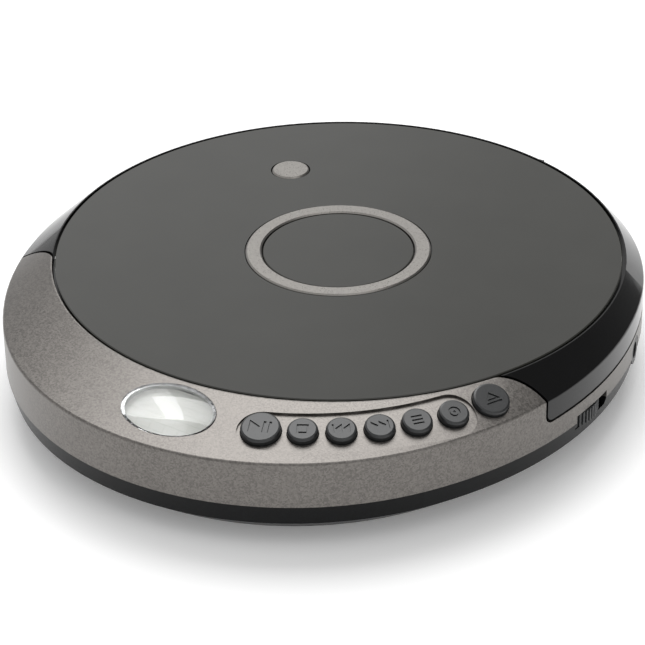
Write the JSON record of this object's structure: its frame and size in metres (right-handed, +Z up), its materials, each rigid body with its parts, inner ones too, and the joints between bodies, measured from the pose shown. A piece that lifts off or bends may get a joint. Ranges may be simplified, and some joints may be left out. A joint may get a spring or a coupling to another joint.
{
  "type": "portable cd player",
  "caption": "Round portable disc player with a hinged glossy lid, sloping metallic front with display and round buttons, side volume wheel and sockets, and battery bay.",
  "frame": {"origin": "centre of the outline, on the surface the player stands on", "axes": "+Z up, -Y towards the front with the controls, +Y towards the lid hinge, +X to the right"},
  "size_m": [0.1388, 0.1512, 0.0265],
  "materials": {
    "case_black": "fine satin texture",
    "pewter_paint": "metallic paint on moulded plastic",
    "deck_black": "fine texture",
    "rubber": "matt",
    "steel": "plated",
    "gloss_black": "piano gloss",
    "panel_gloss": "gloss, dark grey",
    "trim_metal": "satin, bevelled edge",
    "circuit_board": "solder mask",
    "switch_plastic": "satin",
    "clear_lens": "clear moulded",
    "bright_plastic": "bright plated look",
    "display_pale": "pale display glass",
    "button_plastic": "satin, rubbery",
    "socket_plastic": "satin",
    "chip_plastic": "matt",
    "contact_metal": "nickel plated",
    "pickup_grey": "moulded, glass filled",
    "gear_white": "natural acetal",
    "pickup_glass": "coated lens"
  },
  "bodies": {
    "cabinet": {"bottom_case": "case_black", "upper_cabinet": "pewter_paint", "disc_deck": "deck_black", "rubber_feet": "rubber", "case_screws": "steel", "hinge_pins": "steel", "key_board": "circuit_board", "key_switches": "switch_plastic", "display_lens": "clear_lens", "display_surround": "bright_plastic", "display_glass": "display_pale", "volume_control": "switch_plastic", "headphone_socket": "socket_plastic", "power_socket": "socket_plastic", "main_board": "circuit_board", "board_parts": "chip_plastic", "battery_springs": "contact_metal", "battery_plates": "contact_metal", "mech_chassis": "steel", "mech_dampers": "rubber", "guide_rods": "steel", "spindle_motor": "steel", "gear_post": "steel", "sled_motor": "steel"},
    "lid": {"lid_shell": "gloss_black", "lid_panel": "panel_gloss", "lid_ring": "trim_metal", "lid_centre_disc": "panel_gloss", "lid_badge": "trim_metal"},
    "play_button": {"play_button": "button_plastic"},
    "stop_button": {"stop_button": "button_plastic"},
    "previous_button": {"previous_button": "button_plastic"},
    "next_button": {"next_button": "button_plastic"},
    "program_button": {"program_button": "button_plastic"},
    "mode_button": {"mode_button": "button_plastic"},
    "open_button": {"open_button": "button_plastic"},
    "lid_latch": {"lid_latch": "deck_black"},
    "volume_wheel": {"volume_wheel": "button_plastic"},
    "turntable": {"turntable": "deck_black", "centring_hub": "deck_black", "turntable_pad": "rubber", "spindle_shaft": "steel"},
    "hub_ball_1": {"hub_ball_1": "steel"},
    "hub_ball_2": {"hub_ball_2": "steel"},
    "hub_ball_3": {"hub_ball_3": "steel"},
    "sled": {"pickup_body": "pickup_grey", "sled_rack": "gear_white"},
    "double_gear": {"double_gear": "gear_white"},
    "motor_pinion": {"motor_pinion": "gear_white"},
    "lens": {"lens_holder": "chip_plastic", "pickup_lens": "pickup_glass"},
    "battery_door": {"battery_door": "case_black"}
  },
  "joints": [
    {"name": "lid_hinge", "type": "hinge", "parent": "cabinet", "child": "lid", "pos_m": [0, 0.07065, 0.0189], "axis": [-1, 0, 0], "range_deg": [0, 65]},
    {"name": "play_press", "type": "slide", "parent": "cabinet", "child": "play_button", "axis": [-0.0791, 0.235, -0.9688], "range_m": [0, 0.0007], "stiffness_N_per_m": 400},
    {"name": "stop_press", "type": "slide", "parent": "cabinet", "child": "stop_button", "axis": [-0.1149, 0.2336, -0.9655], "range_m": [0, 0.0007], "stiffness_N_per_m": 400},
    {"name": "previous_press", "type": "slide", "parent": "cabinet", "child": "previous_button", "axis": [-0.1512, 0.2316, -0.961], "range_m": [0, 0.0007], "stiffness_N_per_m": 400},
    {"name": "next_press", "type": "slide", "parent": "cabinet", "child": "next_button", "axis": [-0.1926, 0.2287, -0.9543], "range_m": [0, 0.0007], "stiffness_N_per_m": 400},
    {"name": "program_press", "type": "slide", "parent": "cabinet", "child": "program_button", "axis": [-0.2412, 0.2245, -0.9441], "range_m": [0, 0.0007], "stiffness_N_per_m": 400},
    {"name": "mode_press", "type": "slide", "parent": "cabinet", "child": "mode_button", "axis": [-0.3004, 0.2183, -0.9285], "range_m": [0, 0.0007], "stiffness_N_per_m": 400},
    {"name": "open_press", "type": "slide", "parent": "cabinet", "child": "open_button", "axis": [-0.3655, 0.2059, -0.9077], "range_m": [0, 0.0007], "stiffness_N_per_m": 400},
    {"name": "latch_slide", "type": "slide", "parent": "cabinet", "child": "lid_latch", "axis": [0.829, -0.5592, 0], "range_m": [0, 0.00105]},
    {"name": "volume_turn", "type": "hinge", "parent": "cabinet", "child": "volume_wheel", "pos_m": [0.05835, -0.00575, 0.011], "axis": [0, 0, 1], "range_deg": [-140, 140]},
    {"name": "disc_spin", "type": "hinge", "parent": "cabinet", "child": "turntable", "pos_m": [0, 0.00725, 0.0198], "axis": [0, 0, 1], "continuous": true},
    {"name": "hub_ball_1_slide", "type": "slide", "parent": "turntable", "child": "hub_ball_1", "axis": [0, -1, 0], "range_m": [0, 0.00035], "stiffness_N_per_m": 60},
    {"name": "hub_ball_2_slide", "type": "slide", "parent": "turntable", "child": "hub_ball_2", "axis": [0.866, 0.5, 0], "range_m": [0, 0.00035], "stiffness_N_per_m": 60},
    {"name": "hub_ball_3_slide", "type": "slide", "parent": "turntable", "child": "hub_ball_3", "axis": [-0.866, 0.5, 0], "range_m": [0, 0.00035], "stiffness_N_per_m": 60},
    {"name": "sled_slide", "type": "slide", "parent": "cabinet", "child": "sled", "axis": [0, -1, 0], "range_m": [0, 0.033]},
    {"name": "gear_turn", "type": "hinge", "parent": "cabinet", "child": "double_gear", "pos_m": [-0.0276, -0.02475, 0.01], "axis": [0, 0, -1], "range_deg": [0, 631.3]},
    {"name": "pinion_turn", "type": "hinge", "parent": "cabinet", "child": "motor_pinion", "pos_m": [-0.03374, -0.01556, 0.01], "axis": [0, 0, 1], "range_deg": [0, 1682.7]},
    {"name": "lens_focus", "type": "slide", "parent": "sled", "child": "lens", "axis": [0, 0, 1], "range_m": [-0.0004, 0.0004], "stiffness_N_per_m": 200},
    {"name": "battery_door_hinge", "type": "hinge", "parent": "cabinet", "child": "battery_door", "pos_m": [0, 0.03115, 0.0019], "axis": [-1, 0, 0], "range_deg": [0, 95]}
  ],
  "couplings": [
    {"joint": "latch_slide", "follows": "open_press", "ratio": 1.5},
    {"joint": "gear_turn", "follows": "sled_slide", "rad_per_m": 333.33},
    {"joint": "pinion_turn", "follows": "sled_slide", "rad_per_m": 888.89}
  ]
}
